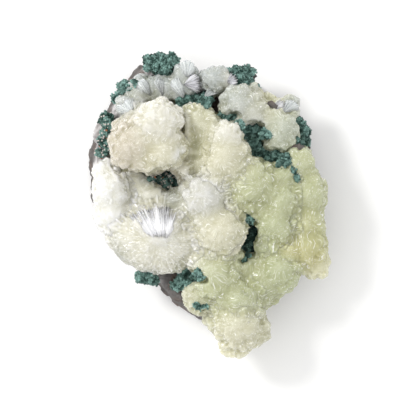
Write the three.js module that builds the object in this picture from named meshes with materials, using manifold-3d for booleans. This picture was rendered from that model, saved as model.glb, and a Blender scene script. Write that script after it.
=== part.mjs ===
// A hand specimen of stilbite: cream and honey balls of radiating blades on a slab of dark basalt, with
// blue-green druses of celadonite-coated crystals between them.
//
// Millimetres, +Z up. The slab lies on its sawn underside, so the crystals face up. +Y is the top of
// the specimen as it is shown face-on. The origin is the middle of the underside.
//
// Every piece is one closed solid with flat facets. Stilbite balls that grew into each other are joined.
// Pieces that touch keep a hairline gap.
import * as THREE from "three";
import { ConvexGeometry } from "three/addons/geometries/ConvexGeometry.js";
import { mergeVertices } from "three/addons/utils/BufferGeometryUtils.js";
import Module from "manifold-3d";

const wasm = await Module();
wasm.setup();

const CONTACT_GAP = 0.3;
const ROCK_TOP = 16;
const ROOT_DEPTH = 12; // where most crystals root, inside the rock's rough top
const GOLDEN_ANGLE = Math.PI * (3 - Math.sqrt(5));
const CREAM = { color: 0xe4e0c4, roughness: 0.35, metalness: 0 };
const CELADONITE = { color: 0x2f7566, roughness: 0.85, metalness: 0 };
const BASALT = { color: 0x5b5355, roughness: 0.9, metalness: 0 };

// A repeatable stream of numbers from 0 to 1, one stream for each seed.
function randomStream(seed) {
  let state = (seed * 2654435761) >>> 0;
  return () => {
    state = (state + 0x6d2b79f5) >>> 0;
    let mixed = Math.imul(state ^ (state >>> 15), 1 | state);
    mixed = (mixed + Math.imul(mixed ^ (mixed >>> 7), 61 | mixed)) ^ mixed;
    return ((mixed ^ (mixed >>> 14)) >>> 0) / 4294967296;
  };
}

function seedOf(x, y) {
  return Math.round(x * 10) * 7919 + Math.round(y * 10) * 104729 + 17;
}

function solidFrom(geometry) {
  const bare = geometry.clone();
  for (const name of Object.keys(bare.attributes)) {
    if (name !== "position") bare.deleteAttribute(name);
  }
  const merged = mergeVertices(bare, 1e-4);
  return new wasm.Manifold(
    new wasm.Mesh({
      numProp: 3,
      vertProperties: new Float32Array(merged.attributes.position.array),
      triVerts: new Uint32Array(merged.index.array),
    }),
  );
}

function geometryFrom(solid) {
  const mesh = solid.getMesh();
  const geometry = new THREE.BufferGeometry();
  geometry.setAttribute("position", new THREE.BufferAttribute(new Float32Array(mesh.vertProperties), 3));
  geometry.setIndex(new THREE.BufferAttribute(new Uint32Array(mesh.triVerts), 1));
  const faceted = geometry.toNonIndexed();
  faceted.computeVertexNormals();
  return faceted;
}

function joined(solids) {
  return solids.reduce((all, next) => all.add(next));
}

// Cutting a piece back from its neighbours can leave chips: only its main body is kept.
function mainBody(solid) {
  return solid.decompose().reduce((best, next) => (next.volume() > best.volume() ? next : best));
}

// A ball of radiating crystals, closed by their flat ends. It is round unless it is stretched, and
// runs down to its root where one is given. Some have blades that stand proud.
function ball(x, y, top, radius, options = {}) {
  const ends = Math.round(7 + 1.6 * radius);
  const shape = { ends, stretchX: 1, stretchY: 1, crown: 1, relief: 0.09, fringe: 0 };
  return { x, y, top, radius, root: top - 2 * radius, ...shape, ...options };
}

// A wide low ball that roots in the rock and carries the balls above it.
function mound(x, y, top, radius, options = {}) {
  return ball(x, y, top, radius, { ends: 10, crown: 0.8, root: ROOT_DEPTH, ...options });
}

// A step of broken rock that stands above the slab.
function ledge(x, y, top, radius, options = {}) {
  return ball(x, y, top, radius, { ends: 8, crown: 0.35, relief: 0.4, root: 4, ...options });
}

// The low crust that a druse grows from, and one cluster of its crystals.
function crust(x, y, top, radius, options = {}) {
  return ball(x, y, top, radius, { ends: 8, crown: 0.5, relief: 0.3, root: ROOT_DEPTH, ...options });
}

function cluster(x, y, top, radius) {
  return ball(x, y, top, radius, { ends: 7, relief: 0.35 });
}

// The crystal ends are spread evenly over the crown, down to a little below its widest part, and a
// few more close it below, where it grows into its neighbours.
const CROWN_FOOT = -0.3;
const BELOW = { count: 3, rise: -0.75 };

function crownCorners(spec, grow) {
  const random = randomStream(seedOf(spec.x, spec.y));
  const crownHeight = spec.radius * spec.crown;
  const middle = spec.top - crownHeight;
  const rootDepth = middle - spec.root;
  const corners = [];
  const addEnd = (rise, around, swell) => {
    const reach = spec.radius * Math.sqrt(1 - rise * rise) * swell + grow;
    const height = rise > 0 ? rise * (crownHeight * swell + grow) : rise * (rootDepth + grow);
    corners.push(
      new THREE.Vector3(
        spec.x + Math.cos(around) * reach * spec.stretchX,
        spec.y + Math.sin(around) * reach * spec.stretchY,
        middle + height,
      ),
    );
  };
  for (let i = 0; i < spec.ends; i += 1) {
    const rise = 1 - ((1 - CROWN_FOOT) * (i + 0.25)) / spec.ends;
    addEnd(rise, i * GOLDEN_ANGLE + 0.5 * (random() - 0.5), 1 + spec.relief * (random() - 0.5));
  }
  for (let i = 0; i < BELOW.count; i += 1) {
    addEnd(BELOW.rise, ((i + random()) / BELOW.count) * 2 * Math.PI, 1);
  }
  return corners;
}

function crownSolid(spec, grow = 0) {
  return solidFrom(new ConvexGeometry(crownCorners(spec, grow)));
}

// A stilbite blade: a thin plate that widens from its root to a shoulder and ends in a chisel edge.
function bladeSolid({ root, tip, width, thickness, turn }, grow) {
  const from = new THREE.Vector3(...root);
  const to = new THREE.Vector3(...tip);
  const along = to.clone().sub(from).normalize();
  const reference = Math.abs(along.z) > 0.9 ? new THREE.Vector3(1, 0, 0) : new THREE.Vector3(0, 0, 1);
  const across = new THREE.Vector3().crossVectors(along, reference).normalize().applyAxisAngle(along, turn);
  const through = new THREE.Vector3().crossVectors(along, across);
  const length = from.distanceTo(to);
  const halfWidth = width / 2 + grow;
  const halfThickness = thickness / 2 + grow;
  const stations = [
    [0, 0.55, 0.8],
    [0.72, 1, 1],
    [1, 0.45, 0],
  ];
  const corners = [];
  for (const [share, widthShare, thicknessShare] of stations) {
    const centre = from.clone().addScaledVector(along, length * share + (share === 1 ? grow : 0));
    for (const side of [-1, 1]) {
      for (const face of thicknessShare > 0 ? [-1, 1] : [0]) {
        corners.push(
          centre
            .clone()
            .addScaledVector(across, side * halfWidth * widthShare)
            .addScaledVector(through, face * halfThickness * thicknessShare),
        );
      }
    }
  }
  return solidFrom(new ConvexGeometry(corners));
}

// Blades that stand a little proud of a ball, fanned out from its middle.
function fringeOf(spec) {
  const random = randomStream(seedOf(spec.y, spec.x) + 5);
  const middle = [spec.x, spec.y, spec.top - spec.radius * spec.crown];
  return Array.from({ length: spec.fringe }, (_, index) => {
    const around = ((index + 0.7 * random()) / spec.fringe) * 2 * Math.PI;
    const down = THREE.MathUtils.degToRad(25 + 45 * random());
    const out = [
      Math.cos(around) * Math.sin(down) * spec.stretchX,
      Math.sin(around) * Math.sin(down) * spec.stretchY,
      Math.cos(down) * spec.crown,
    ];
    const reach = spec.radius * (1.07 + 0.06 * random());
    return {
      root: middle.map((value, axis) => value + out[axis] * spec.radius * 0.5),
      tip: middle.map((value, axis) => value + out[axis] * reach),
      width: spec.radius * (0.6 + 0.2 * random()),
      thickness: spec.radius * (0.2 + 0.1 * random()),
      turn: Math.PI * random(),
    };
  });
}

// Blades that lie side by side and spread out from one point, like the face of a broken sheaf.
function fan({ from, rise, first, last, reaches, width, thickness }) {
  return reaches.map((reach, index) => {
    const heading = THREE.MathUtils.degToRad(first + ((last - first) * index) / (reaches.length - 1));
    const out = [Math.cos(heading) * reach, Math.sin(heading) * reach, rise];
    return { root: from, tip: from.map((value, axis) => value + out[axis]), width, thickness, turn: 0 };
  });
}

function stilbiteSolid({ balls, blades = [] }, grow = 0) {
  const crowns = balls.map((spec) => crownSolid(spec, grow));
  const fringes = balls.flatMap(fringeOf).map((spec) => bladeSolid(spec, grow));
  const singles = blades.map((spec) => bladeSolid(spec, grow));
  return joined([...crowns, ...fringes, ...singles]);
}

// The slab of basalt: a sawn flat underside, broken sides and a rough top. Its outline runs
// anticlockwise from the right, and each level is a share of that outline at one height.
const ROCK_OUTLINE = [
  [42.5, 4], [40.5, 21], [38.5, 34], [28, 40], [19, 49], [9, 49.5], [0, 46.5], [-9, 51],
  [-18, 59], [-27, 56.5], [-36, 46], [-43.8, 33], [-47.3, 20.5], [-46, 3], [-40.5, -11],
  [-32.5, -21.5], [-22.5, -30], [-13, -39.5], [-3, -46.5], [8, -49.5], [18, -41],
  [29, -32.5], [39, -24], [42.5, -10],
];
const ROCK_LEVELS = [
  { share: 0.93, height: 0, push: 0, lift: 0 },
  { share: 0.985, height: 4, push: 2.2, lift: 2.4 },
  { share: 0.97, height: 10, push: 2.4, lift: 3 },
  { share: 0.93, height: 14, push: 1.6, lift: 1.6 },
  { share: 0.72, height: ROCK_TOP, push: 0, lift: 0 },
];
const LEDGES = [
  ledge(-19, 53, 20, 7),
  ledge(-31, 42, 18.5, 6),
  ledge(-40, 29, 18, 6, { stretchY: 1.3 }),
  ledge(-41.5, 16, 19.5, 5, { stretchY: 1.5 }),
  ledge(-21.5, -24, 17.5, 5, { stretchX: 1.3 }),
  ledge(-10, -32.5, 20, 5.6, { stretchX: 1.2 }),
  ledge(-1.5, -40.5, 18, 4.6),
  ledge(36, 26, 18, 6, { stretchY: 1.3 }),
];

function slabSolid(grow = 0) {
  const random = randomStream(41);
  const positions = [];
  const around = ROCK_OUTLINE.length;
  for (const { share, height, push, lift } of ROCK_LEVELS) {
    for (const [x, y] of ROCK_OUTLINE) {
      const size = Math.hypot(x, y);
      const out = push * (random() - 0.6) + grow;
      const up = lift * (random() - 0.5) + (height === 0 ? -grow : grow);
      positions.push(x * share + (x / size) * out, y * share + (y / size) * out, height + up);
    }
  }
  const underside = positions.length / 3;
  positions.push(0, 0, -grow);
  const summit = underside + 1;
  positions.push(0, 0, ROCK_TOP + grow);
  const faces = [];
  for (let i = 0; i < around; i += 1) {
    const next = (i + 1) % around;
    faces.push(underside, next, i);
    for (let level = 0; level < ROCK_LEVELS.length - 1; level += 1) {
      const low = level * around;
      const high = low + around;
      faces.push(low + i, low + next, high + next, low + i, high + next, high + i);
    }
    const last = (ROCK_LEVELS.length - 1) * around;
    faces.push(last + i, last + next, summit);
  }
  const geometry = new THREE.BufferGeometry();
  geometry.setAttribute("position", new THREE.Float32BufferAttribute(positions, 3));
  geometry.setIndex(faces);
  return solidFrom(geometry);
}

function rockSolid(grow = 0) {
  return joined([slabSolid(grow), ...LEDGES.map((spec) => crownSolid(spec, grow))]);
}

// The large mass: every ball here grew into its neighbours. Places are x, y, then the height of the top.
const MAIN_MASS = {
  balls: [
    // the high group at the upper left, on its mound
    mound(-21, 26, 38, 13),
    ball(-18.5, 32, 50, 9.3, { fringe: 2 }),
    ball(-28.5, 23, 45, 9.7, { fringe: 1 }),
    ball(-16.5, 22, 46.5, 8.6, { fringe: 1 }),
    ball(-23, 18.5, 43, 7),
    ball(-26, 33.5, 36, 6.8),
    ball(-34, 29, 31, 5.6),
    // the group in the middle
    mound(2, 24, 34, 13),
    ball(-3, 31, 38, 8.5),
    ball(7.5, 27, 43.5, 6.2, { fringe: 1 }),
    ball(7, 17.5, 44, 9.7, { fringe: 1 }),
    ball(-3.5, 22, 34, 6.2),
    ball(-5, 15.5, 30, 4.8),
    ball(-10, 16.5, 31, 4.6),
    // the smooth ball right of the middle and the ridge beside it
    mound(20, 6, 32, 12),
    ball(16.5, 8.5, 41, 10.4),
    ball(29, 10.5, 34, 5.4),
    ball(28, 2, 37, 6.6),
    ball(26, -7, 36, 7.5),
    ball(11, 1, 34, 4.2),
    // down the right edge
    mound(36, -2, 25, 9, { stretchY: 2.3 }),
    ball(35.5, 16, 32, 7),
    ball(39.5, 5, 32.5, 7.3),
    ball(38, -6.5, 31, 7.3),
    ball(38, -15.5, 30, 8.5, { fringe: 1 }),
    ball(31.5, -17, 30, 6.5),
    ball(23.5, -15.5, 31, 5.4),
    ball(42, -23, 24, 5.6),
    // the lower right
    mound(14, -32, 27, 11, { stretchX: 1.4 }),
    ball(28, -25, 33, 8.5),
    ball(21, -30.5, 30.5, 7.7),
    ball(21.5, -22, 29, 6),
    ball(9.5, -21.5, 33, 6),
    // the centre
    mound(-3, 0, 34, 11),
    ball(-1.5, 3.5, 43, 8.9, { fringe: 1 }),
    ball(5, -9.5, 42, 9.8),
    ball(-11.5, 2, 34, 6.2),
    ball(-22, 3, 29, 5.6),
    ball(-30.5, 10, 27, 5.6),
    // the left edge
    mound(-33, 1, 26, 9, { stretchY: 1.6 }),
    ball(-37.5, 6, 34, 7.7),
    ball(-37, -3.5, 32, 7.7),
    ball(-40, 13.8, 28, 4.6),
    // the wide fan at the lower left
    mound(-8, -16, 31, 11),
    ball(-19, -12.5, 37, 15.5, {
      ends: 34,
      stretchX: 1.16,
      stretchY: 0.9,
      crown: 0.8,
      relief: 0.05,
      root: 13,
    }),
    // below the centre
    ball(3, -27, 37, 10, { fringe: 1 }),
    ball(-3, -35, 28.5, 7),
    ball(12.5, -36.5, 34.5, 7.7),
    // the foot of the specimen
    mound(11, -43, 26, 8.5, { root: 9 }),
    ball(12.5, -46, 35, 10.4, { fringe: 1 }),
    ball(19, -48.5, 30, 5.4),
    ball(11, -52.5, 28, 6.8),
    ball(3, -44, 24, 5.2),
  ],
  blades: [
    // the satin face of the broken sheaf, spread out on the wide fan
    ...fan({
      from: [-19, -14.5, 38],
      rise: -1.4,
      first: 54,
      last: 134,
      reaches: [12.6, 13.4, 12.6, 14.2, 15.2],
      width: 5.4,
      thickness: 2.4,
    }),
    // the corner of a plate that juts out over the crevice, and the edge of a sheaf left of it
    { root: [5, -9.5, 38], tip: [15.4, -12.4, 36.5], width: 7.5, thickness: 2.6, turn: 0.3 },
    { root: [5, -10, 37], tip: [14.6, -6, 37], width: 6, thickness: 2.2, turn: -0.2 },
  ],
};

// The mass at the upper right, with the pale sheaf at its corner.
const UPPER_RIGHT_MASS = {
  balls: [
    mound(19, 35, 27, 9, { stretchX: 1.5 }),
    ball(12, 39, 35.5, 7.3),
    ball(17, 34.5, 35, 7),
    ball(27.5, 29, 34, 7.7),
    ball(17, 44, 28, 3.6),
    ball(33, 23, 26, 3.6),
    ball(32, 38.5, 25, 4, { fringe: 1 }),
  ],
};

// Two fans that meet at a waist, like a bow tie, with a small sheaf in front.
const BOW_TIE = {
  balls: [
    mound(4, 47, 21, 5),
    ball(2.5, 49, 29.5, 5, { stretchX: 1.1, fringe: 1, root: 16 }),
    ball(7.5, 48.5, 28, 3.6, { fringe: 1, root: 16 }),
    ball(1.5, 44, 25, 2.6),
  ],
};

// Glassy sheaves that lean outwards along the top edge.
const TOP_SHEAVES = {
  balls: [
    mound(-17, 44, 22, 7, { stretchX: 1.8, ends: 14 }),
    ball(-26, 45.5, 28, 4.8, { root: 14 }),
    ball(-30, 38, 31, 5.3, { root: 14 }),
    ball(-16.5, 45, 28, 5.2, { root: 14 }),
    ball(-10, 46, 29, 4.8, { fringe: 1, root: 14 }),
    ball(-8.5, 51, 28, 4.6, { fringe: 1, root: 14 }),
  ],
};

// The druses of small celadonite-coated crystals. Each heap is a crust with a few clusters on it.
const DRUSES = {
  celadonite_top_knob: [
    [
      crust(-17.8, 53.5, 23, 5.5, { stretchY: 1.1 }),
      cluster(-18.5, 57, 24.5, 2.8),
      cluster(-20.5, 53.5, 25, 3),
      cluster(-16, 54, 26, 3),
      cluster(-14, 51.5, 24, 2.8),
    ],
  ],
  celadonite_upper_band: [
    [
      crust(-4.5, 41, 24.5, 4, { stretchX: 1.6 }),
      cluster(-8.5, 41.5, 27, 3.1),
      cluster(-4.2, 41, 26.5, 2.8),
      cluster(-0.5, 40, 25.5, 2.4),
    ],
  ],
  celadonite_upper_right_knob: [
    [
      crust(14.5, 48, 22.5, 5.5),
      cluster(12.5, 49, 26, 3.6),
      cluster(16.5, 49.5, 25, 2.8),
      cluster(18.5, 45.5, 22, 2.4),
    ],
  ],
  celadonite_middle_ridge: [
    [crust(10.5, 31.5, 22.5, 5), cluster(8.5, 33.5, 27, 3.4), cluster(12.5, 29.5, 25, 3)],
    [
      crust(17, 25, 23, 7.5),
      cluster(19.5, 28, 28.5, 3.8),
      cluster(16, 25, 25.5, 3.2),
      cluster(17.5, 21.5, 25.5, 3.4),
    ],
    [
      crust(26.5, 18.5, 22, 5.5, { stretchX: 1.3 }),
      cluster(22, 20, 24.5, 3),
      cluster(26.5, 19, 25.5, 3.8),
      cluster(30.5, 16.5, 23, 2.8),
    ],
  ],
  celadonite_right_edge: [
    [
      crust(36, 26.5, 20.5, 4, { stretchY: 1.7 }),
      cluster(35.5, 30, 23.5, 2.8),
      cluster(37, 26, 22.5, 2.8),
      cluster(35, 22, 21, 2.4),
    ],
  ],
  celadonite_left_edge: [
    [
      crust(-38.8, 26.5, 20.5, 3.8, { stretchY: 1.9 }),
      cluster(-37.5, 32, 23, 2.9),
      cluster(-40, 28, 22.5, 2.8),
      cluster(-38, 24, 22, 2.7),
      cluster(-39.5, 20.5, 21, 2.3),
    ],
  ],
  celadonite_corner_edge: [
    [
      crust(-32.3, 44.5, 20.5, 3.6, { stretchY: 1.3 }),
      cluster(-33.5, 43, 22.5, 2.6),
      cluster(-31.5, 46.5, 22, 2.4),
    ],
  ],
  celadonite_hollow: [
    [
      crust(-16, 10.2, 20.5, 4.2, { stretchX: 1.7 }),
      cluster(-16, 10, 22.8, 3.4),
      cluster(-20.5, 11, 21.8, 2.6),
      cluster(-11.5, 9.5, 21.8, 2.6),
    ],
  ],
  celadonite_crevice: [
    [
      crust(15.5, -11, 20.5, 4.4, { stretchY: 2.3 }),
      cluster(12.5, -3.5, 22, 2.5),
      cluster(15.5, -6.5, 23, 3.1),
      cluster(17, -11, 22.8, 3.2),
      cluster(16.5, -15.5, 22.6, 3),
      cluster(14.5, -19, 23, 3),
    ],
  ],
  celadonite_lower_patch: [
    [
      crust(-8, -30.3, 22.5, 5.4, { stretchX: 1.2 }),
      cluster(-8, -29.5, 25.5, 4.2),
      cluster(-4, -31, 23.8, 2.6),
      cluster(-12, -31, 23.8, 2.8),
    ],
  ],
  celadonite_lower_left_edge: [
    [
      crust(-23.8, -27.3, 18.5, 3.8, { stretchX: 1.3 }),
      cluster(-22, -28.5, 20.5, 2.6),
      cluster(-25.8, -26, 20, 2.4),
    ],
  ],
};

// The room that a heap takes in what grew round it.
function pocketOf(heap) {
  return solidFrom(new ConvexGeometry(heap.flatMap((spec) => crownCorners(spec, CONTACT_GAP))));
}

function mesh(name, solid, look) {
  const material = new THREE.MeshStandardMaterial({ ...look, flatShading: true });
  const made = new THREE.Mesh(geometryFrom(solid), material);
  made.name = name;
  return made;
}

// The stilbite grew last, over the druses, so it is cut back from them, and they from the rock.
const specimen = new THREE.Group();
specimen.name = "stilbite_specimen";
specimen.add(mesh("basalt_matrix", rockSolid(), BASALT));
let taken = rockSolid(CONTACT_GAP);
for (const [name, heaps] of Object.entries(DRUSES)) {
  const druse = joined(heaps.flat().map((spec) => crownSolid(spec)));
  specimen.add(mesh(name, mainBody(druse.subtract(taken)), CELADONITE));
  taken = taken.add(joined(heaps.map(pocketOf)));
}
const stilbiteMasses = {
  stilbite_main_mass: MAIN_MASS,
  stilbite_upper_right_mass: UPPER_RIGHT_MASS,
  stilbite_top_sheaves: TOP_SHEAVES,
  stilbite_bow_tie: BOW_TIE,
};
for (const [name, form] of Object.entries(stilbiteMasses)) {
  specimen.add(mesh(name, mainBody(stilbiteSolid(form).subtract(taken)), CREAM));
  taken = taken.add(stilbiteSolid(form, CONTACT_GAP));
}

// The origin is put under the middle of the whole specimen.
const extent = new THREE.Box3().setFromObject(specimen);
const middle = extent.getCenter(new THREE.Vector3());
specimen.position.set(-middle.x, -middle.y, -extent.min.z);

export default specimen;
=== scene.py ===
import bmesh
import bpy
import numpy as np
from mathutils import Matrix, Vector, noise
from mathutils.bvhtree import BVHTree


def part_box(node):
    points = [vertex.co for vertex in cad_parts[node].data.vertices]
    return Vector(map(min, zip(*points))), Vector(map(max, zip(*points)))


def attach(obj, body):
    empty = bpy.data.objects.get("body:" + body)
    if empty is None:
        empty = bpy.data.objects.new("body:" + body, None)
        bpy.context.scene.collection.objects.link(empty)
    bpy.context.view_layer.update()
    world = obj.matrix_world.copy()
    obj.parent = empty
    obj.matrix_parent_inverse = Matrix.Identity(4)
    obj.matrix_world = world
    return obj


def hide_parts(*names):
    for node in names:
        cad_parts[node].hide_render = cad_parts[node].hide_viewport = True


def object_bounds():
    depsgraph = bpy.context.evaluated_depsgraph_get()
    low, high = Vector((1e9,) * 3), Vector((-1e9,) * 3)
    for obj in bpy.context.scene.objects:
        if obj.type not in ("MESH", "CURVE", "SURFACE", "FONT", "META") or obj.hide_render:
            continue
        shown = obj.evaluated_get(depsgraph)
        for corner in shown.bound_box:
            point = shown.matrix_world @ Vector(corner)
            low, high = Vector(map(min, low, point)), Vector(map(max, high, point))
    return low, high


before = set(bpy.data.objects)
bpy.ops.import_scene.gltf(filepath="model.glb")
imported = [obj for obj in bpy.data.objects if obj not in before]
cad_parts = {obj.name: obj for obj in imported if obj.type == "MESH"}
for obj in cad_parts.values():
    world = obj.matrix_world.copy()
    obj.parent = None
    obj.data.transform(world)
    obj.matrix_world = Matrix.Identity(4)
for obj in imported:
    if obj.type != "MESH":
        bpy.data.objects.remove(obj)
cad_low, cad_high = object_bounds()
MM = 0.001

# The stage
# A plain pale floor under the specimen, a soft light at the upper left and pale light all round.
# The camera looks straight down, from far off, as the specimen is shown.
CAMERA_HEIGHT = 1.5
SHOWN_WIDTH = 0.1606
CRYSTAL_HEIGHT = 0.030
CAMERA_X = 0.00005
CAMERA_Y = -0.00148
camera_data = bpy.data.cameras.new("camera")
camera_data.lens = camera_data.sensor_width * (CAMERA_HEIGHT - CRYSTAL_HEIGHT) / SHOWN_WIDTH
camera = bpy.data.objects.new("camera", camera_data)
camera.location = (CAMERA_X, CAMERA_Y, CAMERA_HEIGHT)
bpy.context.collection.objects.link(camera)
bpy.context.scene.camera = camera


WINDOW_PLACE = Vector((-0.62, 0.42, 0.80))
WINDOW_WIDTH = 0.32
WINDOW_WATTS = 6.0
WINDOW_COLOR = (1.0, 0.99, 0.97)
window_data = bpy.data.lights.new("window", "AREA")
window_data.shape = "DISK"
window_data.size = WINDOW_WIDTH
window_data.energy = WINDOW_WATTS
window_data.color = WINDOW_COLOR
window = bpy.data.objects.new("window", window_data)
window.location = WINDOW_PLACE
window.rotation_euler = (-WINDOW_PLACE).to_track_quat("-Z", "Y").to_euler()
bpy.context.collection.objects.link(window)

world = bpy.data.worlds.new("pale room")
world.use_nodes = True
room = world.node_tree.nodes["Background"].inputs
room["Color"].default_value = (1.0, 1.0, 1.0, 1.0)
room["Strength"].default_value = 1.0
bpy.context.scene.world = world
bpy.context.scene.view_settings.view_transform = "Standard"

FLOOR_REACH = 2.0
PAPER_COLOR = (0.95, 0.95, 0.95, 1.0)
PAPER_ROUGHNESS = 0.9
corners = [(x * FLOOR_REACH, y * FLOOR_REACH, 0) for x, y in ((-1, -1), (1, -1), (1, 1), (-1, 1))]
floor_mesh = bpy.data.meshes.new("floor")
floor_mesh.from_pydata(corners, [], [(0, 1, 2, 3)])
floor = bpy.data.objects.new("floor", floor_mesh)
bpy.context.collection.objects.link(floor)
paper = bpy.data.materials.new("pale paper")
paper.use_nodes = True
paper_surface = paper.node_tree.nodes["Principled BSDF"].inputs
paper_surface["Base Color"].default_value = PAPER_COLOR
paper_surface["Roughness"].default_value = PAPER_ROUGHNESS
floor_mesh.materials.append(paper)

# Stilbite, the high group at the upper left
# Balls of radiating blades that grew into one rounded mass, milky cream with a faint blush at its
# left. It grew upwards from the rock on a broad foot.
# from the point that the balls are placed round to the middle of the specimen's box
ORIGIN_SHIFT = np.array([-0.14, -0.51, 0.0])
TINTS = {
    "white": (0.71, 0.71, 0.69),
    "snow": (0.80, 0.80, 0.81),
    "straw": (0.72, 0.70, 0.52),
    "pearl": (0.57, 0.57, 0.55),
    "moss": (0.375, 0.40, 0.25),
    "milk": (0.64, 0.63, 0.57),
    "ivory": (0.575, 0.56, 0.44),
    "cream": (0.52, 0.515, 0.385),
    "blush": (0.52, 0.48, 0.40),
    "celery": (0.455, 0.475, 0.305),
    "sage": (0.42, 0.45, 0.285),
    "honey": (0.55, 0.50, 0.235),
    "glass": (0.41, 0.435, 0.42),
    "frost": (0.50, 0.51, 0.475),
    "mist": (0.33, 0.34, 0.30),
    "jade": (0.43, 0.46, 0.39),
}

# the hearts that the blades of a ball grow from: degrees from upright, degrees round
HEARTS = [
    (20, 10), (50, 70), (60, 150), (48, 215), (62, 280), (52, 345),
    (80, 110), (85, 190), (80, 250), (85, 320),
]
HEART_DEPTH = 0.45


def ball(x, y, top, radius, tint, stretch_x=1.0, stretch_y=1.0, crown=1.0, root=None):
    """A ball of blades by its top, with its hearts turned differently from those of the next ball."""
    depth = radius if root is None else top - radius * crown - root
    centre = np.array([x, y, top - radius * crown]) + ORIGIN_SHIFT
    reach = np.array([radius * stretch_x, radius * stretch_y, radius * crown])
    steep, round_ = np.radians(np.array(HEARTS, dtype=float) + [0, 37 * x + 53 * y]).T
    level = np.sin(steep)
    ways = np.column_stack([level * np.cos(round_), level * np.sin(round_), np.cos(steep)])
    hearts = centre + ways * reach * HEART_DEPTH
    return {"centre": centre, "reach": reach, "depth": depth, "tint": TINTS[tint], "hearts": hearts}


def mound(x, y, top, radius, tint, stretch_x=1.0, stretch_y=1.0):
    """The low, broad foot that a group of balls stands on."""
    return ball(x, y, top, radius, tint, stretch_x, stretch_y, crown=0.8, root=12.0)


sphere = bmesh.new()
bmesh.ops.create_icosphere(sphere, subdivisions=4, radius=1.0)
SPHERE_POINTS = np.array([v.co[:] for v in sphere.verts])
SPHERE_FACES = np.array([[v.index for v in f.verts] for f in sphere.faces])
sphere.free()


def object_from(name, points, faces):
    mesh = bpy.data.meshes.new(name)
    mesh.from_pydata(points, [], faces)
    mesh.update()
    made = bpy.data.objects.new(name, mesh)
    bpy.context.collection.objects.link(made)
    return made


def settle(made):
    """Makes the modifiers of an object part of its mesh."""
    shown = made.evaluated_get(bpy.context.evaluated_depsgraph_get())
    mesh = bpy.data.meshes.new_from_object(shown)
    made.modifiers.clear()
    old = made.data
    made.data = mesh
    bpy.data.meshes.remove(old)
    mesh.name = made.name


def read(data, field, width=3):
    """The numbers of mesh data, one row for each point."""
    values = np.empty(len(data) * width, dtype=np.float32)
    data.foreach_get(field, values)
    return values.reshape(-1, width).astype(float)


def points_of(mesh):
    return read(mesh.vertices, "co")


def normals_of(mesh):
    return read(mesh.vertex_normals, "vector")


def read_float(mesh, name):
    return read(mesh.attributes[name].data, "value", 1)[:, 0]


def smooth_step(value, low, high):
    share = np.clip((value - low) / (high - low), 0.0, 1.0)
    return share * share * (3 - 2 * share)


def store(mesh, name, values, kind="FLOAT", field="value"):
    layer = mesh.attributes.get(name) or mesh.attributes.new(name, kind, "POINT")
    layer.data.foreach_set(field, values.astype(np.float32).ravel())


def store_vector(mesh, name, values):
    store(mesh, name, values, "FLOAT_VECTOR", "vector")


def store_color(mesh, name, colors):
    store(mesh, name, np.hstack([colors, np.ones((len(colors), 1))]), "FLOAT_COLOR", "color")


def tree_of(names):
    """The surfaces of some CAD nodes, for looking up what is near or below a point."""
    corners = []
    faces = []
    for name in names:
        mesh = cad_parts[name].data
        start = len(corners)
        corners.extend(v.co.copy() for v in mesh.vertices)
        faces.extend([start + v for v in polygon.vertices] for polygon in mesh.polygons)
    return BVHTree.FromPolygons(corners, faces)


def distance_to(tree, points, limit):
    """How far each point is from a surface, in metres, up to a limit."""
    far = np.full(len(points), limit)
    for index, point in enumerate(points):
        found = tree.find_nearest(point, limit)
        if found[0] is not None:
            far[index] = found[3]
    return far


def depth_in(tree, points):
    """How deep each point lies inside a solid, in metres: 0 outside it."""
    deep = np.zeros(len(points))
    for index, point in enumerate(points):
        place, normal, _, away = tree.find_nearest(point)
        if (Vector(point) - place).dot(normal) < 0:
            deep[index] = away
    return deep


NODE_NAMES = list(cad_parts)
ALL_NODES = tree_of(NODE_NAMES)
DRUSES = tree_of([name for name in NODE_NAMES if name.startswith("celadonite")])
ABOVE_ALL = 0.2
DOWN = Vector((0, 0, -1))

# the height of the specimen over a grid of places, where a druse lies on top, and how high the
# ground is round each place
GRID_STEP = 1.0 * MM
GRID_MARGIN = 6 * MM
DRUSE_SLACK = 0.3 * MM
GROUND_SPREAD = 4
grid_x = np.arange(cad_low[0] - GRID_MARGIN, cad_high[0] + GRID_MARGIN, GRID_STEP)
grid_y = np.arange(cad_low[1] - GRID_MARGIN, cad_high[1] + GRID_MARGIN, GRID_STEP)
heights = np.zeros((len(grid_x), len(grid_y)))
druse_shows = np.zeros(heights.shape, dtype=bool)
for i, x in enumerate(grid_x):
    for j, y in enumerate(grid_y):
        hit = ALL_NODES.ray_cast(Vector((x, y, ABOVE_ALL)), DOWN)
        heights[i, j] = hit[0].z if hit[0] is not None else 0.0
        hit = DRUSES.ray_cast(Vector((x, y, ABOVE_ALL)), DOWN)
        druse_shows[i, j] = hit[0] is not None and hit[0].z > heights[i, j] - DRUSE_SLACK


def blurred(values, radius):
    offsets = np.arange(-3 * radius, 3 * radius + 1)
    weights = np.exp(-0.5 * (offsets / radius) ** 2)
    weights /= weights.sum()
    for axis in (0, 1):
        values = np.apply_along_axis(lambda row: np.convolve(row, weights, mode="same"), axis, values)
    return values


ground = blurred(heights, GROUND_SPREAD)


def cell_of(points):
    i = np.clip(((points[..., 0] - grid_x[0]) / GRID_STEP + 0.5).astype(int), 0, len(grid_x) - 1)
    j = np.clip(((points[..., 1] - grid_y[0]) / GRID_STEP + 0.5).astype(int), 0, len(grid_y) - 1)
    return i, j


def recess_of(points):
    """How far each point lies below the ground round it, in metres."""
    return ground[cell_of(points)] - points[:, 2]


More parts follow.
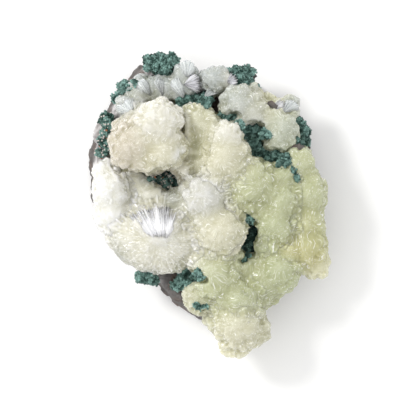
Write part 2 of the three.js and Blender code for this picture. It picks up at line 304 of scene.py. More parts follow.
class Wiring:
    """Short ways to add and join the nodes of a tree."""

    def __init__(self, tree):
        self.tree = tree

    def add(self, kind, **settings):
        node = self.tree.nodes.new(kind)
        for label, value in settings.items():
            setattr(node, label, value)
        return node

    def feed(self, socket, source):
        if isinstance(source, bpy.types.NodeSocket):
            self.tree.links.new(source, socket)
        else:
            socket.default_value = source

    def joined(self, node, *sources):
        """The outputs of a node whose first inputs are fed in their order."""
        for socket, source in zip(node.inputs, sources):
            self.feed(socket, source)
        return node.outputs

    def math(self, operation, first, second):
        return self.joined(self.add("ShaderNodeMath", operation=operation), first, second)[0]

    def times(self, first, second):
        return self.math("MULTIPLY", first, second)

    def plus(self, first, second):
        return self.math("ADD", first, second)

    def minus(self, first, second):
        return self.math("SUBTRACT", first, second)

    def vector(self, operation, first, second=(0.0, 0.0, 0.0)):
        return self.joined(self.add("ShaderNodeVectorMath", operation=operation), first, second)[0]

    def scaled(self, vector, factor):
        node = self.add("ShaderNodeVectorMath", operation="SCALE")
        self.feed(node.inputs[0], vector)
        self.feed(node.inputs["Scale"], factor)
        return node.outputs[0]

    def combine(self, x, y, z):
        return self.joined(self.add("ShaderNodeCombineXYZ"), x, y, z)[0]

    def separate(self, source):
        return self.joined(self.add("ShaderNodeSeparateXYZ"), source)

    def cells(self, place, size, randomness=0.9):
        node = self.add("ShaderNodeTexVoronoi")
        self.feed(node.inputs["Vector"], place)
        self.feed(node.inputs["Scale"], self.math("DIVIDE", 1.0, size))
        node.inputs["Randomness"].default_value = randomness
        return node.outputs

    def noise(self, place, size, detail=1.0):
        node = self.add("ShaderNodeTexNoise")
        self.feed(node.inputs["Vector"], place)
        self.feed(node.inputs["Scale"], self.math("DIVIDE", 1.0, size))
        node.inputs["Detail"].default_value = detail
        return node.outputs


class Growth(Wiring):
    """The wiring of a tree that takes geometry in and gives geometry out."""

    def __init__(self, name, numbers, others=()):
        super().__init__(bpy.data.node_groups.new(name, "GeometryNodeTree"))
        sockets = self.tree.interface
        inputs = [("Geometry", "Geometry")] + [(label, "Float") for label in numbers] + list(others)
        for label, kind in inputs:
            sockets.new_socket(label, in_out="INPUT", socket_type="NodeSocket" + kind)
        sockets.new_socket("Geometry", in_out="OUTPUT", socket_type="NodeSocketGeometry")
        self.given = self.add("NodeGroupInput").outputs
        self.result = self.add("NodeGroupOutput")

    def random(self, low, high, offset):
        """A number by chance for each point, the same in each run."""
        node = self.add("FunctionNodeRandomValue", data_type="FLOAT")
        self.feed(node.inputs[2], low)
        self.feed(node.inputs[3], high)
        self.feed(node.inputs["Seed"], self.plus(self.given["Seed"], offset))
        return node.outputs[1]

    def position(self):
        return self.add("GeometryNodeInputPosition").outputs[0]

    def attribute(self, name, kind="FLOAT"):
        node = self.add("GeometryNodeInputNamedAttribute", data_type=kind)
        node.inputs["Name"].default_value = name
        return node.outputs["Attribute"]

    def store(self, geometry, name, source, domain="POINT"):
        node = self.add("GeometryNodeStoreNamedAttribute", data_type="FLOAT", domain=domain)
        node.inputs["Name"].default_value = name
        self.feed(node.inputs["Geometry"], geometry)
        self.feed(node.inputs["Value"], source)
        return node.outputs["Geometry"]

    def moved(self, geometry, offset):
        node = self.add("GeometryNodeSetPosition")
        self.feed(node.inputs["Geometry"], geometry)
        self.feed(node.inputs["Offset"], offset)
        return node.outputs["Geometry"]

    def raised(self, rise):
        """The given surface, moved along its normals where it is exposed."""
        normal = self.add("GeometryNodeInputNormal").outputs[0]
        rise = self.times(rise, self.attribute("exposed"))
        return self.moved(self.given["Geometry"], self.scaled(normal, rise))

    def scatter(self):
        """Evenly spaced spots on the given surface, where it is exposed."""
        given = self.given
        spots = self.add("GeometryNodeDistributePointsOnFaces", distribute_method="POISSON")
        self.feed(spots.inputs["Mesh"], given["Geometry"])
        self.feed(spots.inputs["Distance Min"], given["Spacing"])
        crowd = self.math("DIVIDE", 3.0, self.times(given["Spacing"], given["Spacing"]))
        self.feed(spots.inputs["Density Max"], crowd)
        self.feed(spots.inputs["Density Factor"], self.attribute("exposed"))
        self.feed(spots.inputs["Seed"], given["Seed"])
        return spots.outputs

    def stand(self, spots, offset, turn, size, shade=None):
        """Stands one of the given shapes on each spot, and joins them all with the surface."""
        given = self.given
        shapes = self.add("GeometryNodeCollectionInfo")
        self.feed(shapes.inputs["Collection"], given["Shapes"])
        shapes.inputs["Separate Children"].default_value = True
        shapes.inputs["Reset Children"].default_value = True
        stood = self.add("GeometryNodeInstanceOnPoints")
        self.feed(stood.inputs["Points"], self.moved(spots["Points"], offset))
        self.feed(stood.inputs["Instance"], shapes.outputs[0])
        stood.inputs["Pick Instance"].default_value = True
        self.feed(stood.inputs["Rotation"], turn)
        self.feed(stood.inputs["Scale"], size)
        made = stood.outputs["Instances"]
        if shade is not None:
            made = self.store(made, "shade", shade, domain="INSTANCE")
        solid = self.joined(self.add("GeometryNodeRealizeInstances"), made)[0]
        both = self.add("GeometryNodeJoinGeometry")
        self.feed(both.inputs[0], solid)
        self.feed(both.inputs[0], given["Geometry"])
        dressed = self.add("GeometryNodeSetMaterial")
        self.feed(dressed.inputs["Geometry"], both.outputs["Geometry"])
        self.feed(dressed.inputs["Material"], given["Material"])
        return self.finish(dressed.outputs["Geometry"])

    def finish(self, geometry):
        self.feed(self.result.inputs["Geometry"], geometry)
        return self.tree


def lobed_skin_tree():
    """Swells a surface into lobes with small knobs on them, and bends it a little out of true."""
    labels = ("Lobe Size", "Lobe Relief", "Knob Size", "Knob Relief", "Sway", "Sway Size")
    w = Growth("lobed skin", labels, [("Seed", "Int")])
    given = w.given
    offset = w.times(given["Seed"], 0.37)
    place = w.vector("ADD", w.position(), w.combine(offset, offset, offset))
    stray = w.vector("SUBTRACT", w.noise(place, 3.0 * MM)["Color"], (0.5, 0.5, 0.5))
    bent = w.vector("ADD", place, w.scaled(stray, 1.6 * MM))
    swells = []
    for size in (given["Lobe Size"], given["Knob Size"]):
        reach = w.times(w.cells(bent, size)["Distance"], 1.2)
        swells.append(w.minus(1.0, w.times(reach, reach)))
    lobe, knob = swells
    sway = w.minus(w.noise(place, given["Sway Size"])["Fac"], 0.5)
    rise = w.times(w.minus(lobe, 0.55), given["Lobe Relief"])
    rise = w.plus(rise, w.times(w.minus(knob, 0.6), given["Knob Relief"]))
    rise = w.times(rise, w.attribute("flank"))
    rise = w.plus(rise, w.times(w.times(sway, 2.0), given["Sway"]))
    return w.finish(w.store(w.raised(rise), "lobe", lobe))


LOBED_SKIN = lobed_skin_tree()
SKIN = {
    "Lobe Size": 4.8 * MM,
    "Lobe Relief": 2.6 * MM,
    "Knob Size": 2.2 * MM,
    "Knob Relief": 0.7 * MM,
    "Sway": 1.1 * MM,
    "Sway Size": 9.0 * MM,
}


def add_nodes(made, tree, values):
    modifier = made.modifiers.new(tree.name, "NODES")
    modifier.node_group = tree
    for item in tree.interface.items_tree:
        if item.item_type == "SOCKET" and item.in_out == "INPUT" and item.name in values:
            modifier[item.identifier] = values[item.name]


def add_remesh(made, voxel):
    remesh = made.modifiers.new("one skin", "REMESH")
    remesh.mode = "VOXEL"
    remesh.voxel_size = voxel
    return remesh


def add_smooth(made, rounds):
    smooth = made.modifiers.new("worn", "SMOOTH")
    smooth.factor = 0.5
    smooth.iterations = rounds


def rough_copy(name, node, voxel, soften):
    """A copy of a solid, made one even skin that can take relief."""
    work = bmesh.new()
    work.from_mesh(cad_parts[node].data)
    bmesh.ops.remove_doubles(work, verts=work.verts, dist=0.005 * MM)
    made = object_from(name, [], [])
    work.to_mesh(made.data)
    work.free()
    add_remesh(made, voxel)
    add_smooth(made, soften)
    settle(made)
    return made


MASS_VOXEL = 0.55 * MM
SOFT_VOXEL = 0.7 * MM
VALLEY_FILL = 6.0 * MM
VALLEY_RADIUS = 3.5 * MM
VALLEY_SOFTENING = 40
SOFT_SKINS = {}


def close_valleys(made, voxel, soften):
    """Fills the narrow valleys of a mass: it swells, its skin is made one again, and it shrinks back."""
    for swell in (VALLEY_RADIUS, -VALLEY_RADIUS):
        offset = made.modifiers.new("swell", "DISPLACE")
        offset.mid_level = 0.0
        offset.strength = swell
        add_remesh(made, voxel)
        settle(made)
    add_smooth(made, soften)
    settle(made)


def soft_skin(node):
    """A soft skin over the whole of a solid, which fills the valleys between its groups."""
    if node not in SOFT_SKINS:
        made = rough_copy(node + "_skin", node, SOFT_VOXEL, 10)
        close_valleys(made, SOFT_VOXEL, VALLEY_SOFTENING)
        corners = [v.co.copy() for v in made.data.vertices]
        SOFT_SKINS[node] = BVHTree.FromPolygons(corners, [list(p.vertices) for p in made.data.polygons])
        bpy.data.objects.remove(made)
    return SOFT_SKINS[node]


# where the druses show between the masses: middle, radius and floor
OPENINGS = [
    (15.2, -4.8, 2.6, 22), (16.8, -8.3, 2.6, 22), (17.2, -13.3, 2.0, 22), (15.6, -17.6, 3.0, 22),
    (14.1, -21.0, 2.0, 24), (-20.8, 11.2, 2.4, 19), (-17.5, 10.2, 3.2, 17), (-14.4, 9.8, 3.0, 17),
    (-15.2, 7.4, 2.8, 18), (6.8, 34.4, 2.4, 29), (9.5, 33.8, 3.2, 27), (15.2, 29.9, 2.2, 27),
    (18.7, 29.4, 3.4, 26), (17.2, 25.3, 3.2, 26), (18.0, 21.0, 2.6, 27), (22.5, 18.5, 2.6, 27),
    (27.0, 19.4, 3.6, 25), (-7.0, -27.0, 4.2, 19), (-2.6, -28.0, 2.6, 21),
]
OPEN_HEIGHT = 50


def press_openings(points):
    """Presses the skin down to the floor of each opening, and leaves it alone a little outside it."""
    for x, y, radius, floor_height in OPENINGS:
        middle = (np.array([x, y]) + ORIGIN_SHIFT[:2]) * MM
        away = np.linalg.norm(points[:, :2] - middle, axis=1) / (radius * MM)
        limit = (floor_height + (OPEN_HEIGHT - floor_height) * smooth_step(away, 0.7, 1.15)) * MM
        points[:, 2] = np.minimum(points[:, 2], limit)


def smooth_mass(name, node, balls, soften, fill):
    """The rounded form of a group of balls, raised to the soft skin where it dips between groups."""
    points = []
    faces = []
    for spec in balls:
        local = SPHERE_POINTS * spec["reach"]
        below = SPHERE_POINTS[:, 2] < 0
        local[below, 2] = SPHERE_POINTS[below, 2] * spec["depth"]
        faces.append(SPHERE_FACES + sum(len(p) for p in points))
        points.append(local + spec["centre"])
    made = object_from(name, (np.vstack(points) * MM).tolist(), np.vstack(faces).tolist())
    add_remesh(made, MASS_VOXEL)
    settle(made)
    close_valleys(made, MASS_VOXEL, soften)
    mesh = made.data
    skin = soft_skin(node)
    points = points_of(mesh)
    for index, (point, normal) in enumerate(zip(points, normals_of(mesh))):
        if normal[2] < -0.3:
            continue
        upward = Vector((normal[0], normal[1], normal[2] + 0.8)).normalized()
        found = skin.ray_cast(Vector(point), upward, fill)
        if found[0] is None or upward.dot(found[1]) < 0.2 or druse_shows[cell_of(np.array(found[0]))]:
            continue
        points[index] = found[0]
    press_openings(points)
    mesh.vertices.foreach_set("co", points.astype(np.float32).ravel())
    mesh.update()
    add_smooth(made, 8)
    settle(made)
    return made


def mark_exposed(made, own_node):
    """Finds where a mass shows, and how steep it is there."""
    mesh = made.data
    points = points_of(mesh)
    others = tree_of([node for node in NODE_NAMES if node != own_node])
    buried = depth_in(tree_of([own_node]), points)
    clear = distance_to(others, points, 2.0 * MM)
    exposed = (1 - smooth_step(buried, 1.4 * MM, 2.4 * MM)) * smooth_step(clear, 0.1 * MM, 0.6 * MM)
    store(mesh, "exposed", exposed)
    normals = normals_of(mesh)
    slope = 1 - np.clip(normals[:, 2], 0, 1)
    store(mesh, "flank", 0.16 + 0.84 * smooth_step(slope, 0.08, 0.6))
    store_vector(mesh, "outward", normals)


STRAY = 1.5 * MM
STRAY_SIZE = 3.5 * MM


def strayed(points):
    """The points moved a little at random, so that what is worked out from them wanders."""
    moves = [noise.noise_vector(Vector(point) / STRAY_SIZE)[:] for point in points]
    return points + np.array(moves) * STRAY


def out_of_balls(points, balls):
    """The way the blades grow at each point: away from the hearts that are near it."""
    total = np.zeros((len(points), 3))
    points = strayed(points)
    for spec in balls:
        for heart in spec["hearts"]:
            way = points / MM - heart
            away = np.linalg.norm(way, axis=1)[:, None]
            total += np.exp(-12.0 * away / spec["reach"].max()) * way / (away + 1e-9)
    return total / (np.linalg.norm(total, axis=1)[:, None] + 1e-12)


def away_from(points, apex):
    """The way the fibres of a fan run at each point."""
    spread = points - (np.array(apex) + ORIGIN_SHIFT) * MM
    return spread / (np.linalg.norm(spread, axis=1)[:, None] + 1e-9)


def touches(spec, points):
    """Whether a ball is near enough to some points to tint them."""
    middle = spec["centre"] * MM
    reach = 1.6 * spec["reach"].max() * MM
    return ((points.min(axis=0) - reach < middle) & (points.max(axis=0) + reach > middle)).all()


def tint_of(points, balls):
    """The tint at each point, blended between the balls that are near it."""
    total = np.zeros((len(points), 3))
    weight = np.zeros(len(points))
    for spec in balls:
        away = np.linalg.norm((points / MM - spec["centre"]) / spec["reach"].max(), axis=1)
        share = np.exp(-5.0 * away)
        total += share[:, None] * np.array(spec["tint"])
        weight += share
    return total / weight[:, None]


def new_material(name, roughness):
    """A material, its wiring, its surface and the tint that its meshes store at each point."""
    material = bpy.data.materials.new(name)
    material.use_nodes = True
    w = Wiring(material.node_tree)
    surface = material.node_tree.nodes["Principled BSDF"].inputs
    surface["Roughness"].default_value = roughness
    tint = w.add("ShaderNodeAttribute", attribute_name="tint").outputs["Color"]
    w.feed(surface["Base Color"], tint)
    return material, w, surface, tint


# the colour of the painted glints
GLINT_COLOR = (0.92, 0.92, 0.90, 1.0)
FACET_SHAPE = (1.5, 1.5, 5.0)
FACET_TILT = 0.7


def stilbite_material():
    """See-through at its edges: light goes in and comes out again close by. White flecks on some facets
    are painted glints.
    """
    material, w, surface, tint = new_material("stilbite", roughness=0.15)
    fan = w.add("ShaderNodeAttribute", attribute_name="fan").outputs["Vector"]
    streaky = w.add("ShaderNodeAttribute", attribute_name="streaky").outputs["Fac"]
    contrast = w.plus(w.times(streaky, 0.24), 0.10)
    streak = w.minus(w.noise(fan, 1.0, 2.0)["Fac"], 0.5)
    streaked = w.scaled(tint, w.plus(w.times(streak, contrast), 1.0))
    facets = w.cells(w.vector("MULTIPLY", fan, FACET_SHAPE), 1.0, randomness=1.0)["Color"]
    # painted glints: white flecks on a few of the facets
    glint_mask = w.add("ShaderNodeMapRange")
    w.feed(glint_mask.inputs["Value"], w.joined(w.add("ShaderNodeSeparateColor"), facets)["Blue"])
    glint_mask.inputs["From Min"].default_value = 0.90
    glint_mask.inputs["From Max"].default_value = 0.97
    glint_mask.inputs["To Max"].default_value = 0.75
    glinted = w.add("ShaderNodeMix", data_type="RGBA")
    w.feed(glinted.inputs[0], glint_mask.outputs["Result"])
    w.feed(glinted.inputs[6], streaked)
    w.feed(glinted.inputs[7], GLINT_COLOR)
    w.feed(surface["Base Color"], glinted.outputs[2])
    tilt = w.scaled(w.vector("SUBTRACT", facets, (0.5, 0.5, 0.5)), FACET_TILT)
    normal = w.add("ShaderNodeNewGeometry").outputs["Normal"]
    w.feed(surface["Normal"], w.vector("NORMALIZE", w.vector("ADD", tilt, normal)))
    surface["Subsurface Weight"].default_value = 1.0
    surface["Subsurface Scale"].default_value = 1.5 * MM
    surface["Subsurface Radius"].default_value = (1.0, 1.0, 0.95)
    surface["IOR"].default_value = 1.5
    return material


STILBITE = stilbite_material()


# the rings of a blade from its root: height, half its width and half its thickness
BLADE_RINGS = [(-1.0, 0.25, 0.40), (-0.45, 0.48, 0.50), (-0.20, 0.47, 0.45), (-0.06, 0.32, 0.34)]
BLADE_EDGE = 0.12
BLADE_LEAN = 0.2


def blade_shape(name, skew):
    """One blade, from its root at -1 to its tip at 0: flat, with a rounded end cut to an edge."""
    work = bmesh.new()
    rings = []
    for z, width, thickness in BLADE_RINGS:
        sway = skew * (z + 1) * BLADE_LEAN
        sides = ((-1, -1), (1, -1), (1, 1), (-1, 1))
        rings.append([work.verts.new((x * width + sway, y * thickness, z)) for x, y in sides])
    ridge = [work.verts.new((side * BLADE_EDGE + skew * BLADE_LEAN, 0, 0)) for side in (-1, 1)]
    work.faces.new(rings[0][::-1])
    for lower, upper in zip(rings, rings[1:]):
        for k in range(4):
            work.faces.new((lower[k], lower[(k + 1) % 4], upper[(k + 1) % 4], upper[k]))
    top = rings[-1]
    work.faces.new((top[0], top[1], ridge[1], ridge[0]))
    work.faces.new((top[1], top[2], ridge[1]))
    work.faces.new((top[2], top[3], ridge[0], ridge[1]))
    work.faces.new((top[3], top[0], ridge[0]))
    mesh = bpy.data.meshes.new(name)
    work.to_mesh(mesh)
    work.free()
    return bpy.data.objects.new(name, mesh)


COAT_INPUTS = [("Shapes", "Collection"), ("Seed", "Int"), ("Material", "Material")]
NEARLY_DOWN = (0.05, 0.03, -1.0)
STRAY_TURN = 0.25


def blade_coat_tree():
    """Stands blades on a mass, along its growth, with the same turn for all the blades of a lobe."""
    labels = ("Spacing", "Width", "Thickness", "Length", "Lift", "Unevenness", "Lobe Size", "Roll Spread")
    w = Growth("blade coat", labels, COAT_INPUTS)
    given = w.given
    growth = w.attribute("growth", "FLOAT_VECTOR")
    upright = w.add("FunctionNodeAlignRotationToVector", axis="Z")
    w.feed(upright.inputs["Vector"], growth)
    along = w.add("FunctionNodeAlignRotationToVector", axis="X", pivot_axis="Z")
    w.feed(along.inputs["Rotation"], upright.outputs[0])
    w.feed(along.inputs["Vector"], NEARLY_DOWN)
    chance = w.separate(w.cells(w.position(), given["Lobe Size"])["Color"])[0]
    strays = [w.random(-STRAY_TURN, STRAY_TURN, offset) for offset in (11, 12, 13)]
    roll = w.plus(w.times(w.minus(chance, 0.5), given["Roll Spread"]), strays[0])
    tilt = w.joined(w.add("FunctionNodeEulerToRotation"), w.combine(strays[1], strays[2], roll))[0]
    rotate = w.add("FunctionNodeRotateRotation", rotation_space="LOCAL")
    turned = w.joined(rotate, along.outputs[0], tilt)[0]
    lift = w.plus(given["Lift"], w.times(w.random(-1.0, 1.0, 14), given["Unevenness"]))
    lift = w.times(lift, w.plus(w.times(w.attribute("flank"), 0.7), 0.3))
    width = w.times(given["Width"], w.random(0.55, 1.35, 15))
    thickness = w.times(given["Thickness"], w.random(0.6, 1.4, 16))
    size = w.combine(width, thickness, given["Length"])
    return w.stand(w.scatter(), w.scaled(growth, lift), turned, size)


BLADE_COAT = blade_coat_tree()
BLADE_SHAPES = bpy.data.collections.new("blade shapes")
for index, skew in enumerate((-1.0, 0.0, 1.0)):
    BLADE_SHAPES.objects.link(blade_shape("blade_" + str(index), skew))
COAT = {
    "Spacing": 0.7 * MM,
    "Width": 2.0 * MM,
    "Thickness": 0.5 * MM,
    "Length": 2.6 * MM,
    "Lift": 0.10 * MM,
    "Unevenness": 0.30 * MM,
    "Lobe Size": 4.0 * MM,
    "Roll Spread": 0.7,
}


def recessed(colors, points):
    """Painted shade: darker and more olive in the hollows between the masses."""
    deep = smooth_step(recess_of(points), 1.0 * MM, 13.0 * MM)
    return colors * (1 - deep[:, None] * np.array([0.22, 0.24, 0.38]))


def averaged(mesh, values, rounds):
    """Values at the points of a mesh, evened out between neighbours."""
    edges = np.empty(len(mesh.edges) * 2, dtype=np.int32)
    mesh.edges.foreach_get("vertices", edges)
    first, second = edges.reshape(-1, 2).T
    count = np.bincount(first, minlength=len(values)) + np.bincount(second, minlength=len(values)) + 1.0
    for _ in range(rounds):
        total = values.copy()
        for axis in range(values.shape[1]):
            total[:, axis] += np.bincount(first, values[second, axis], len(values))
            total[:, axis] += np.bincount(second, values[first, axis], len(values))
        values = total / count[:, None]
    return values


MAIN = "stilbite_main_mass"
FUSED_VOXEL = 0.41 * MM
FUSED_ADAPTIVITY = 0.18 * MM
MASSES = []


def stilbite_mass(
    name, node, balls, soften=24, seed=0, skin={}, coat={}, fan=None, fill=VALLEY_FILL, spots=[]
):
    """A group of balls: their rounded form, its lobes, and the blades that have grown into one skin."""
    made = smooth_mass(name, node, balls, soften, fill)
    mark_exposed(made, node)
    add_nodes(made, LOBED_SKIN, {**SKIN, **skin, "Seed": seed})
    settle(made)
    mesh = made.data
    points = points_of(mesh)
    growth = read(mesh.attributes["outward"].data, "vector") * 0.4 + out_of_balls(points, balls) * 0.6
    if fan is not None:
        growth = growth * 0.45 + away_from(points, fan) * 0.55
    growth /= np.linalg.norm(growth, axis=1)[:, None]
    store_vector(mesh, "growth", growth)
    coat = {**COAT, **coat, "Seed": seed, "Shapes": BLADE_SHAPES, "Material": STILBITE}
    add_nodes(made, BLADE_COAT, coat)
    add_remesh(made, FUSED_VOXEL).adaptivity = FUSED_ADAPTIVITY
    settle(made)
    mesh = made.data
    mesh.shade_smooth()
    mesh.materials.clear()
    mesh.materials.append(STILBITE)
    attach(made, "root")
    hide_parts(node)
    MASSES.append((made, balls, spots, fan))


stilbite_mass(
    "stilbite_high_group",
    MAIN,
    [
        mound(-21, 26, 38, 13, "blush"),
        ball(-18.5, 32, 50, 9.3, "milk"),
        ball(-28.5, 23, 45, 9.7, "blush"),
        ball(-16.5, 22, 46.5, 8.6, "ivory"),
        ball(-23, 18.5, 43, 7, "ivory"),
        ball(-26, 33.5, 36, 6.8, "frost"),
        ball(-33, 29, 31, 5.0, "blush"),
    ],
    soften=60,
    seed=1,
    spots=[ball(-11, 20, 46, 3, "white"), ball(-33, 18, 42, 4, "blush")],
    fill=1.0 * MM,
)

# Stilbite, the group in the middle
# Balls a step lower than the high group and grown onto its side, with one small bright ball and an
# olive hollow at its left.
stilbite_mass(
    "stilbite_middle_group",
    MAIN,
    [
        mound(2, 24, 34, 13, "cream"),
        ball(-3, 31, 38, 8.5, "cream"),
        ball(7.5, 27, 43.5, 6.2, "milk"),
        ball(7, 17.5, 44, 9.7, "ivory"),
        ball(-3.5, 22, 34, 6.2, "sage"),
        ball(-5, 15.5, 35, 5.2, "cream"),
        ball(-10, 16.5, 35, 5.2, "blush"),
        ball(-7.2, 11.5, 32, 4.6, "blush"),
    ],
    seed=2,
)

# Stilbite, the smooth ball right of the middle and the ridge beside it
# One large ball of finer blades, pale celery green and smoother than the rest, with a ridge of
# smaller balls grown down its right side.
stilbite_mass(
    "stilbite_smooth_ball",
    MAIN,
    [
        mound(20, 6, 32, 12, "celery"),
        ball(16.5, 8.5, 41, 10.4, "celery"),
        ball(29, 10.5, 34, 5.4, "sage"),
        ball(28, 2, 37, 6.6, "sage"),
        ball(26, -7, 36, 7.5, "sage"),
        ball(11, 1, 34, 4.2, "sage"),
    ],
    seed=3,
)

# Stilbite, down the right edge and the lower right
# Two groups of smaller balls that stand over the slab's edge, greenish at the top and honey coloured
# below, grown onto the smooth ball and the foot.
stilbite_mass(
    "stilbite_right_edge",
    MAIN,
    [
        mound(36, -2, 25, 9, "celery", stretch_y=2.3),
        ball(35.5, 16, 32, 7, "celery"),
        ball(39.5, 5, 32.5, 7.3, "celery"),
        ball(38, -6.5, 31, 7.3, "honey"),
        ball(38, -15.5, 30, 8.5, "honey"),
        ball(31.5, -17, 30, 6.5, "honey"),
        ball(23.5, -15.5, 31, 5.4, "sage"),
        ball(42, -23, 24, 5.6, "straw"),
    ],
    seed=4,
)
stilbite_mass(
    "stilbite_lower_right",
    MAIN,
    [
        mound(14, -32, 27, 11, "celery", stretch_x=1.4),
        ball(28, -25, 33, 8.5, "sage"),
        ball(21, -30.5, 30.5, 7.7, "moss"),
        ball(21.5, -22, 29, 6, "celery"),
        ball(9.5, -21.5, 33, 6, "celery"),
    ],
    seed=5,
)

# Stilbite, the centre
# Two high balls that lean over the crevice on their right, bright at the top, with low greyish
# balls that run from them to the left under the hollow.
stilbite_mass(
    "stilbite_centre",
    MAIN,
    [
        mound(-3, 0, 34, 11, "cream"),
        ball(-1.5, 3.5, 43, 8.9, "pearl"),
        ball(5, -9.5, 42, 9.8, "ivory"),
        ball(-11.5, 2, 34, 6.2, "mist"),
        ball(-22, 3, 29, 5.6, "cream"),
        ball(-30.5, 10, 27, 5.6, "cream"),
        ball(-24.6, 10.2, 27, 2.7, "mist"),
    ],
    spots=[ball(-11.5, 3, 36, 5.5, "mist"), ball(-12, 0, 36, 4, "mist")],
    seed=6,
)

# Stilbite, the left edge
# Low white balls along the edge of the slab, with finer lobes than the others, grown between the
# high group and the wide fan.
stilbite_mass(
    "stilbite_left_edge",
    MAIN,
    [
        mound(-33, 1, 26, 9, "white", stretch_y=1.6),
        ball(-37.5, 6, 34, 7.7, "white"),
        ball(-37, -3.5, 32, 7.7, "snow"),
        ball(-40, 13.8, 28, 4.6, "white"),
    ],
    seed=7,
    fill=2.5 * MM,
    skin={"Lobe Relief": 1.4 * MM, "Knob Relief": 0.4 * MM},
)

# Stilbite, the wide fan at the lower left
# A low wide dome of long thin fibres that spread from one point under the middle of its top, and
# end in a ragged rim over the rock.
stilbite_mass(
    "stilbite_wide_fan",
    MAIN,
    [
        mound(-8, -16, 31, 11, "milk"),
        ball(-19, -12.5, 37, 15.5, "milk", stretch_x=1.16, stretch_y=0.9, crown=0.8, root=13),
        ball(-34, -12, 26, 6, "milk", root=14),
    ],
    spots=[
        ball(-16, -13, 40, 6, "white"),
        ball(-7.5, -14.5, 35, 5, "white"),
        ball(-30.5, -17, 32, 6.5, "mist"),
        # partly painted shade: a dark spot where a gap lies at the lower left of the fan's skirt
        ball(-21.5, -23, 31, 5.5, "mist"),
    ],
    seed=8,
    skin={"Lobe Relief": 0.6 * MM, "Knob Relief": 0.3 * MM},
    coat={
        "Width": 0.9 * MM,
        "Thickness": 0.5 * MM,
        "Length": 4.5 * MM,
        "Roll Spread": 0.5,
        "Lift": 0.5 * MM,
    },
    fan=(-19, -13.7, 35),
)

# Stilbite, below the centre and the foot
# Two groups that step down from the centre to the lowest end of the specimen: celery green above,
# and cream at the foot, which hangs over the end of the slab.
stilbite_mass(
    "stilbite_below_centre",
    MAIN,
    [
        ball(3, -27, 37, 10, "celery"),
        ball(-3, -35, 28.5, 7, "cream"),
        ball(12.5, -36.5, 34.5, 7.7, "sage"),
        mound(6, -33, 26, 8, "celery"),
    ],
    seed=9,
)
stilbite_mass(
    "stilbite_foot",
    MAIN,
    [
        ball(11, -43, 26, 8.5, "cream", crown=0.8, root=9),
        ball(12.5, -46, 35, 10.4, "ivory"),
        ball(19, -48.5, 30, 5.4, "cream"),
        ball(11, -52.5, 28, 6.8, "straw"),
        ball(3, -44, 24, 5.2, "cream"),
    ],
    seed=10,
)

# Stilbite, the upper right
# A mass of its own behind the ridge of blue-green crystals: greyish balls that are clearer than the
# others, rooted on the rock.
stilbite_mass(
    "stilbite_upper_right",
    "stilbite_upper_right_mass",
    [
        mound(19, 35, 27, 9, "cream", stretch_x=1.5),
        ball(12, 39, 35.5, 7.3, "glass"),
        ball(17, 34.5, 35, 7, "frost"),
        ball(27.5, 29, 34, 7.7, "jade"),
        ball(17, 44, 28, 3.6, "glass"),
        ball(33, 23, 26, 3.6, "celery"),
        ball(32, 38.5, 25, 4, "glass"),
    ],
    seed=11,
)

# Stilbite, the bow tie
# Two small clear fans that meet at a narrow waist, as stilbite grows where it has room, rooted on
# the rock between two druses.
stilbite_mass(
    "stilbite_two_fans",
    "stilbite_bow_tie",
    [
        mound(4, 47, 21, 5, "glass"),
        ball(2.5, 49, 29.5, 5, "glass", stretch_x=1.1, root=16),
        ball(7.5, 48.5, 28, 3.6, "milk", root=16),
        ball(1.5, 44, 25, 2.6, "glass"),
    ],
    seed=12,
)

# Stilbite, the sheaves along the top edge
# A row of grey, glassy bundles of blades, splayed at their tops and rooted side by side on the
# edge of the slab.
stilbite_mass(
    "stilbite_sheaves",
    "stilbite_top_sheaves",
    [
        mound(-17, 44, 22, 7, "glass", stretch_x=1.8),
        ball(-26, 45.5, 28, 4.8, "glass", root=14),
        ball(-30, 38, 31, 5.3, "glass", root=14),
        ball(-16.5, 45, 28, 5.2, "glass", root=14),
        ball(-10, 46, 29, 4.8, "glass", root=14),
        ball(-8.5, 51, 28, 4.6, "glass", root=14),
    ],
    seed=13,
)

# The run of the stilbite's colour and of its fibres
# Its tint changes slowly from ball to ball and runs on from one group to the next. Painted light makes it
# paler on thin rims, painted shade makes it darker in grooves and hollows, and fine fibres fan out from
# the middle of each ball.
# painted shade in grooves and painted light on thin convex rims
GROOVE_SHADE = np.array([0.92, 0.91, 0.80])
RIM_LIGHT = np.array([1.09, 1.09, 1.12])
FIBRES_ROUND = 22.0
FIBRE_LENGTHS = 5.5
PALEST = 0.97
for made, balls, spots, fan in MASSES:
    mesh = made.data
    points = points_of(mesh)
    normals = normals_of(mesh)
    fine = ((points - averaged(mesh, points, 6)) * normals).sum(axis=1)
    broad = ((points - averaged(mesh, points, 40)) * normals).sum(axis=1)
    edge = smooth_step(fine, -0.10 * MM, 0.14 * MM) * 0.5
    edge += smooth_step(broad, -0.30 * MM, 0.50 * MM) * 0.5
    near = [spec for _, others, more, _ in MASSES for spec in others + more if touches(spec, points)]
    # painted shade in the hollows, then painted shade in grooves and painted light on rims
    colors = recessed(tint_of(points, near), points)
    colors *= GROOVE_SHADE * (1 - edge[:, None]) + RIM_LIGHT * edge[:, None]
    store_color(mesh, "tint", np.clip(colors, 0, PALEST))
    way = out_of_balls(points, balls) if fan is None else away_from(points, fan)
    level = np.linalg.norm(way[:, :2], axis=1)[:, None] + 1e-6
    turn = np.arccos(np.clip(way[:, 2], -1, 1))[:, None]
    store_vector(mesh, "fan", np.hstack([way[:, :2] / level * FIBRES_ROUND, turn * FIBRE_LENGTHS]))
    store(mesh, "streaky", smooth_step(level[:, 0], 0.25, 0.75))

